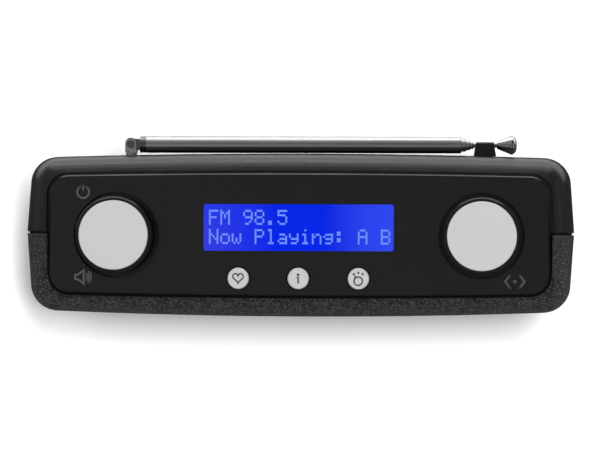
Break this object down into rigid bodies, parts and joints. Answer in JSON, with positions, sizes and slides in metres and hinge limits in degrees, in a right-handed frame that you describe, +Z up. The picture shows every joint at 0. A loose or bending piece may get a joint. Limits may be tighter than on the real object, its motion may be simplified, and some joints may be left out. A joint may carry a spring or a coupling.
{
  "type": "portable radio",
  "caption": "Tabletop radio: cloth-wrapped front, black plastic back, top panel with display, keys and push-turn knobs, telescopic aerial folded along the back.",
  "frame": {"origin": "middle of the footprint of the whole radio, stowed aerial included, on the surface its feet stand on", "axes": "+X to the right seen from the front, +Y to the back where the aerial is, +Z up"},
  "size_m": [0.1712, 0.0568, 0.1147],
  "materials": {
    "cloth": "woven charcoal melange",
    "case_plastic": "satin black",
    "inner_plastic": "black",
    "panel_plastic": "fine satin black",
    "clip_plastic": "black",
    "knob_black": "gloss black",
    "knob_silver": "fine silver",
    "button_silver": "fine silver",
    "window": "clear",
    "backlight": "lit blue",
    "tin_plate": "bright",
    "board": "green solder mask",
    "component_black": "moulded",
    "shaft_metal": "turned",
    "plunger_plastic": "natural",
    "screw_steel": "zinc plated",
    "speaker_steel": "plated",
    "speaker_paper": "pressed paper",
    "speaker_rubber": "soft",
    "speaker_foam": "foam",
    "speaker_cloth": "resin cloth",
    "ferrite": "ferrite",
    "copper": "enamelled wire",
    "cell": "printed sleeve",
    "wire": "insulated wire",
    "ribbon": "flat cable",
    "aerial_chrome": "polished"
  },
  "bodies": {
    "case": {"grille_cloth": "cloth", "rear_shell": "case_plastic", "front_shell": "inner_plastic", "battery_tray": "inner_plastic", "top_panel": "panel_plastic", "aerial_clip": "clip_plastic", "display_window": "window", "display_glass": "window", "display_backlight": "backlight", "display_frame": "tin_plate", "tuner_can": "tin_plate", "encoder_nuts": "tin_plate", "battery_contacts": "tin_plate", "display_board": "board", "control_board": "board", "main_board": "board", "board_components": "component_black", "button_switches": "component_black", "volume_encoder": "component_black", "tuning_encoder": "component_black", "headphone_socket": "component_black", "power_socket": "component_black", "board_screws": "screw_steel", "speaker_screws": "screw_steel", "case_screws": "screw_steel", "speaker_frame": "speaker_steel", "speaker_pole_plates": "speaker_steel", "speaker_cone": "speaker_paper", "speaker_dust_cap": "speaker_paper", "speaker_surround": "speaker_rubber", "feet": "speaker_rubber", "speaker_gasket": "speaker_foam", "speaker_spider": "speaker_cloth", "speaker_magnet": "ferrite", "voice_coil": "copper", "battery_cells": "cell", "internal_leads": "wire", "ribbon_cable": "ribbon"},
    "volume_plunger": {"volume_switch_plunger": "plunger_plastic"},
    "volume_control": {"volume_shaft": "shaft_metal", "volume_knob": "knob_black", "volume_knob_disc": "knob_silver"},
    "tuning_plunger": {"tuning_switch_plunger": "plunger_plastic"},
    "tuning_control": {"tuning_shaft": "shaft_metal", "tuning_knob": "knob_black", "tuning_knob_disc": "knob_silver"},
    "favourite_key": {"favourite_button": "button_silver"},
    "info_key": {"info_button": "button_silver"},
    "menu_key": {"menu_button": "button_silver"},
    "aerial_swivel": {"aerial_post": "aerial_chrome", "aerial_rivet": "aerial_chrome", "aerial_post_screw": "aerial_chrome"},
    "aerial_arm": {"aerial_knuckle": "aerial_chrome", "aerial_tube_1": "aerial_chrome"},
    "aerial_section_2": {"aerial_tube_2": "aerial_chrome"},
    "aerial_section_3": {"aerial_tube_3": "aerial_chrome"},
    "aerial_section_4": {"aerial_tube_4": "aerial_chrome"},
    "aerial_end": {"aerial_rod": "aerial_chrome", "aerial_tip": "aerial_chrome"},
    "battery_cover": {"battery_door": "case_plastic"}
  },
  "joints": [
    {"name": "volume_push", "type": "slide", "parent": "case", "child": "volume_plunger", "axis": [0, 0, -1], "range_m": [0, 0.0006], "stiffness_N_per_m": 1200, "springref_m": -0.001},
    {"name": "volume_turn", "type": "hinge", "parent": "volume_plunger", "child": "volume_control", "pos_m": [-0.0567, -0.0031, 0.1032], "axis": [0, 0, 1], "continuous": true},
    {"name": "tuning_push", "type": "slide", "parent": "case", "child": "tuning_plunger", "axis": [0, 0, -1], "range_m": [0, 0.0006], "stiffness_N_per_m": 1200, "springref_m": -0.001},
    {"name": "tuning_turn", "type": "hinge", "parent": "tuning_plunger", "child": "tuning_control", "pos_m": [0.0567, -0.0031, 0.1032], "axis": [0, 0, 1], "continuous": true},
    {"name": "favourite_press", "type": "slide", "parent": "case", "child": "favourite_key", "axis": [0, 0, -1], "range_m": [0, 0.0005], "stiffness_N_per_m": 1000, "springref_m": -0.0008},
    {"name": "info_press", "type": "slide", "parent": "case", "child": "info_key", "axis": [0, 0, -1], "range_m": [0, 0.0005], "stiffness_N_per_m": 1000, "springref_m": -0.0008},
    {"name": "menu_press", "type": "slide", "parent": "case", "child": "menu_key", "axis": [0, 0, -1], "range_m": [0, 0.0005], "stiffness_N_per_m": 1000, "springref_m": -0.0008},
    {"name": "aerial_turn", "type": "hinge", "parent": "case", "child": "aerial_swivel", "pos_m": [-0.0533, 0.0254, 0.093], "axis": [0, -1, 0], "range_deg": [0, 180], "deforming": ["aerial_clip"]},
    {"name": "aerial_tilt", "type": "hinge", "parent": "aerial_swivel", "child": "aerial_arm", "pos_m": [-0.0533, 0.0254, 0.093], "axis": [0, 0, 1], "range_deg": [0, 90]},
    {"name": "aerial_slide_1", "type": "slide", "parent": "aerial_arm", "child": "aerial_section_2", "axis": [1, 0, 0], "range_m": [0, 0.085]},
    {"name": "aerial_slide_2", "type": "slide", "parent": "aerial_section_2", "child": "aerial_section_3", "axis": [1, 0, 0], "range_m": [0, 0.086]},
    {"name": "aerial_slide_3", "type": "slide", "parent": "aerial_section_3", "child": "aerial_section_4", "axis": [1, 0, 0], "range_m": [0, 0.087]},
    {"name": "aerial_slide_4", "type": "slide", "parent": "aerial_section_4", "child": "aerial_end", "axis": [1, 0, 0], "range_m": [0, 0.088]},
    {"name": "battery_door_hinge", "type": "hinge", "parent": "case", "child": "battery_cover", "pos_m": [0, 0.0205, 0.0134], "axis": [-1, 0, 0], "range_deg": [0, 85]}
  ]
}
